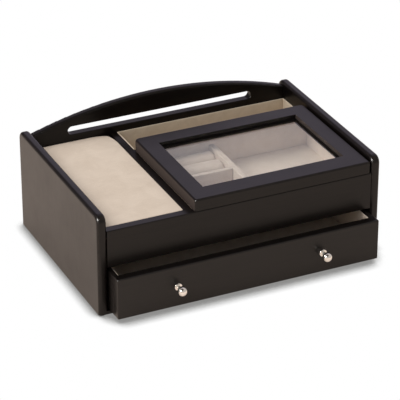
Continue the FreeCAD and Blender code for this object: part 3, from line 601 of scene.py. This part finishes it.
# Lid: one routed and lacquered board with a clear pane in its opening, held from below by
# stained strips. The end grain of its left and right edges drinks the film and stays duller.
END_GRAIN = (0.048, 0.032, 0.026, 1.0)
END_ROUGHNESS = 0.6
lid_lacquer = lacquers["x"].copy()
lid_lacquer.name = "dark_lacquer_lid"
tree = lid_lacquer.node_tree
surface = tree.nodes["Principled BSDF"].inputs
end_grain = spread(tree, leaning_of(tree)[0], 0.80, 0.97)
film_colour = surface["Base Color"].links[0].from_socket
film_dullness = surface["Roughness"].links[0].from_socket
tree.links.new(blend_colours(tree, end_grain, film_colour, END_GRAIN), surface["Base Color"])
dullness = shader_node(tree, "ShaderNodeMix", {0: end_grain, 2: film_dullness, 3: END_ROUGHNESS})
tree.links.new(dullness.outputs[0], surface["Roughness"])
seamless("lid_frame", lid_lacquer, "lid")
finish_with(stained["x"], "glass_retainers")
GLASS_TINTS = (0.985, 0.995, 0.988, 1.0), (0.995, 1.0, 0.996, 1.0)
GLASS_SHADE, SMEAR_DULLS = (0.97, 0.98, 0.97, 1.0), 0.045
clear_glass, tree, surface = new_material("clear_glass", IOR=1.5, Transmission_Weight=1.0)
smears = spread(tree, noise(tree, object_place(tree), 22.0, 5.0, 0.6), 0.45, 0.8, 0.0, SMEAR_DULLS)
cloudy = spread(tree, noise(tree, object_place(tree), 9.0), 0.3, 0.7)
tint = blend_colours(tree, cloudy, *GLASS_TINTS)
tree.links.new(tint, surface["Base Color"])
tree.links.new(smears, surface["Roughness"])
shine = tree.nodes["Principled BSDF"].outputs[0]
open_air = shader_node(tree, "ShaderNodeBsdfTransparent", {"Color": GLASS_SHADE})
lamp_ray = shader_node(tree, "ShaderNodeLightPath").outputs["Is Shadow Ray"]
both = shader_node(tree, "ShaderNodeMixShader", {0: lamp_ray, 1: shine, 2: open_air.outputs[0]})
tree.links.new(both.outputs[0], tree.nodes["Material Output"].inputs["Surface"])
finish_with(clear_glass, "glass_pane")

# Drawer: a lacquered front, stained walls and floor, and a suede lining like the others.
seamless("drawer_front", lacquer("x", "drawer", THICK_FILM), "drawer")
finish_with(stained["y"], "drawer_left_side", "drawer_right_side")
finish_with(stained["x"], "drawer_back", "drawer_bottom")
DRAWER_CARD, DRAWER_DROP = 0.0012, 0.0006
new_piece("drawer_suede_lining",
          lining_cards("drawer_liner", DRAWER_CARD, DRAWER_CARD, rim_drop=DRAWER_DROP), lit_lining_suede,
          "drawer", "beige_suede", "drawer_liner")

# Knobs: turned balls on a collar, plated with a warm polished nickel.
polished_nickel = metal("polished_nickel", (0.93, 0.92, 0.885, 1.0), (0.82, 0.79, 0.73, 1.0), 0.07, 0.3)
seamless("drawer_knobs", polished_nickel, "drawer", plated)

# Runners and bumpers: nylon wear strips under the drawer and soft rubber stops behind it.
NYLON_CLEAN, NYLON_WORN = (0.80, 0.79, 0.75, 1.0), (0.66, 0.65, 0.62, 1.0)
RUBBER_DARK, RUBBER_BLOOM = (0.012, 0.012, 0.013, 1.0), (0.03, 0.03, 0.031, 1.0)
runner_nylon, tree, surface = new_material("runner_nylon", IOR=1.53, Subsurface_Weight=0.1)
worn_path = noise(tree, stretched_place(tree, (300.0, 12.0, 300.0)), 1.0, 4.0)
tree.links.new(blend_colours(tree, worn_path, NYLON_CLEAN, NYLON_WORN), surface["Base Color"])
tree.links.new(spread(tree, worn_path, 0.3, 0.7, 0.35, 0.55), surface["Roughness"])
finish_with(runner_nylon, "drawer_runners")
bumper_rubber, tree, surface = new_material("bumper_rubber", IOR=1.5, Specular_IOR_Level=0.3)
bloom = noise(tree, object_place(tree), 500.0, 4.0, 0.6)
bloomed = blend_colours(tree, spread(tree, bloom, 0.4, 0.7), RUBBER_DARK, RUBBER_BLOOM)
tree.links.new(bloomed, surface["Base Color"])
tree.links.new(spread(tree, bloom, 0.3, 0.7, 0.65, 0.85), surface["Roughness"])
finish_with(bumper_rubber, "drawer_bumpers")

# Set: a plain white floor just under the felt, white surroundings for the camera, a room for
# reflections, one large lamp and two small ones. A dark rim on the floor stands for the shadow.
FLOOR_HALF, FLOOR_GAP = 6.0, 0.0002
floor_mesh = bpy.data.meshes.new("floor")
floor_corners = [(x * FLOOR_HALF, y * FLOOR_HALF, -FLOOR_GAP)
                 for x, y in ((-1, -1), (1, -1), (1, 1), (-1, 1))]
floor_mesh.from_pydata(floor_corners, [], [(0, 1, 2, 3)])
floor = bpy.data.objects.new("floor", floor_mesh)
bpy.context.scene.collection.objects.link(floor)


def seen_directly(tree):
    """1 for rays that reach the camera with no bounce but through glass, and 1 for glossy rays."""
    rays = shader_node(tree, "ShaderNodeLightPath").outputs
    unlit = maths(tree, "LESS_THAN", rays["Diffuse Depth"], 0.5)
    through = maths(tree, "MULTIPLY", rays["Is Transmission Ray"], unlit)
    return maths(tree, "MAXIMUM", rays["Is Camera Ray"], through), rays["Is Glossy Ray"]


# The paper shows white where nothing is near, with a painted shadow drawn from ambient occlusion
# round what stands on it; gloss sees it as warm as a desk top.
PAPER = (0.88, 0.88, 0.88, 1.0)
PAPER_WARM = (1.0, 0.83, 0.72, 1.0)
PAPER_OPEN = (1.0, 1.0, 1.0, 1.0)
PAPER_PAINTED_SHADOW = (0.27, 0.268, 0.262, 1.0)
SHADOW_WIDTH = 0.018
paper, tree, surface = new_material("white_paper", Roughness=1.0, Specular_IOR_Level=0.0)
seen, gloss = seen_directly(tree)
tree.links.new(blend_colours(tree, gloss, PAPER, PAPER_WARM), surface["Base Color"])
near = shader_node(tree, "ShaderNodeAmbientOcclusion", {"Distance": SHADOW_WIDTH}, samples=8)
openness = spread(tree, near.outputs["AO"], 0.5, 0.86)
in_view = shader_node(tree, "ShaderNodeEmission",
                      {"Color": blend_colours(tree, openness, PAPER_PAINTED_SHADOW, PAPER_OPEN)})
lit_paper = tree.nodes["Principled BSDF"].outputs[0]
shown = shader_node(tree, "ShaderNodeMixShader", {0: seen, 1: lit_paper, 2: in_view.outputs[0]})
# From below the paper is clear, so that the underside can be looked at.
from_below = shader_node(tree, "ShaderNodeNewGeometry").outputs["Backfacing"]
clear = shader_node(tree, "ShaderNodeBsdfTransparent")
shown = shader_node(tree, "ShaderNodeMixShader",
                    {0: from_below, 1: shown.outputs[0], 2: clear.outputs[0]})
tree.links.new(shown.outputs[0], tree.nodes["Material Output"].inputs["Surface"])
floor_mesh.materials.append(paper)

world = bpy.data.worlds.new("studio")
world.use_nodes = True
bpy.context.scene.world = world
tree = world.node_tree
direction = shader_node(tree, "ShaderNodeTexCoord").outputs["Generated"]
# What lights the object: brightest overhead, brighter from the left than from the right or front.
BLACK, WHITE = (0.0, 0.0, 0.0, 1.0), (1.0, 1.0, 1.0, 1.0)
BRIGHTER_WAY, DARK_CEILING_WAY = (-0.22, 0.08, 0.60), (-0.18, -0.38, 0.91)
leaning = vector_maths(tree, "DOT_PRODUCT", direction, BRIGHTER_WAY)["Value"]
brightness = spread(tree, leaning, -0.27, 0.70, 0.03, 1.0)
soft_light = blend_colours(tree, brightness, BLACK, WHITE)
# What gloss reflects: a cream room in front with a dark patch of ceiling, and behind the object a
# cool wall that is brighter on the right.
CREAM_ROOM = (0.52, 0.47, 0.43, 1.0)
DARK_CEILING = (0.05, 0.045, 0.045, 1.0)
WALL_LEFT, WALL_RIGHT = (0.22, 0.19, 0.21, 1.0), (0.66, 0.59, 0.71, 1.0)
across = parts_of(tree, direction)
overhead = vector_maths(tree, "DOT_PRODUCT", direction, DARK_CEILING_WAY)["Value"]
in_front = blend_colours(tree, spread(tree, overhead, 0.86, 0.94), CREAM_ROOM, DARK_CEILING)
wall = blend_colours(tree, spread(tree, across["X"], -0.1, 0.33), WALL_LEFT, WALL_RIGHT)
room = blend_colours(tree, spread(tree, across["Y"], -0.05, 0.5), in_front, wall)
seen, gloss = seen_directly(tree)
light = blend_colours(tree, gloss, soft_light, room)
backdrop = blend_colours(tree, seen, light, WHITE)
tree.links.new(backdrop, tree.nodes["Background"].inputs["Color"])


LAMP_AIM = (0, 0, 0.06)


def soft_lamp(name, direction, distance, size, power, tint):
    """A square area lamp that stands distance away and looks at the middle of the case."""
    data = bpy.data.lights.new(name, "AREA")
    data.size, data.energy, data.color = size, power, tint
    lamp = bpy.data.objects.new(name, data)
    towards = np.array(direction) / np.linalg.norm(direction)
    lamp.location = towards * distance + np.array(LAMP_AIM)
    lamp.rotation_euler = Vector(towards).to_track_quat("Z", "Y").to_euler()
    bpy.context.scene.collection.objects.link(lamp)
    return lamp


# The large lamp only lights; the small ones only give the sparks on rounded corners and knobs.
window = soft_lamp("window_lamp", (-0.66, 0.05, 0.75), 1.8, 1.0, 12.8, (1.0, 0.99, 0.97))
window.visible_glossy = False
SPARKS = ("spark_lamp", 0.45, 48.0, polished), ("knob_lamp", 0.22, 9.0, plated)
for name, size, power, shine in SPARKS:
    spark = soft_lamp(name, (-0.76, -0.40, 0.48), 1.6, size, power, (1.0, 0.98, 0.95))
    spark.visible_diffuse = False
    spark.light_linking.receiver_collection = shine

# Camera: solved from the photo's edges, a long lens from the front left, 28 degrees above.
camera_data = bpy.data.cameras.new("camera")
camera_data.lens, camera_data.sensor_width = 198.74, 36.0
camera = bpy.data.objects.new("camera", camera_data)
camera.location = (-0.87291, -1.87575, 1.14844)
camera.rotation_euler = (radians(61.938), 0.0, radians(-25.031))
bpy.context.scene.collection.objects.link(camera)
bpy.context.scene.camera = camera
bpy.context.scene.view_settings.view_transform = "Standard"
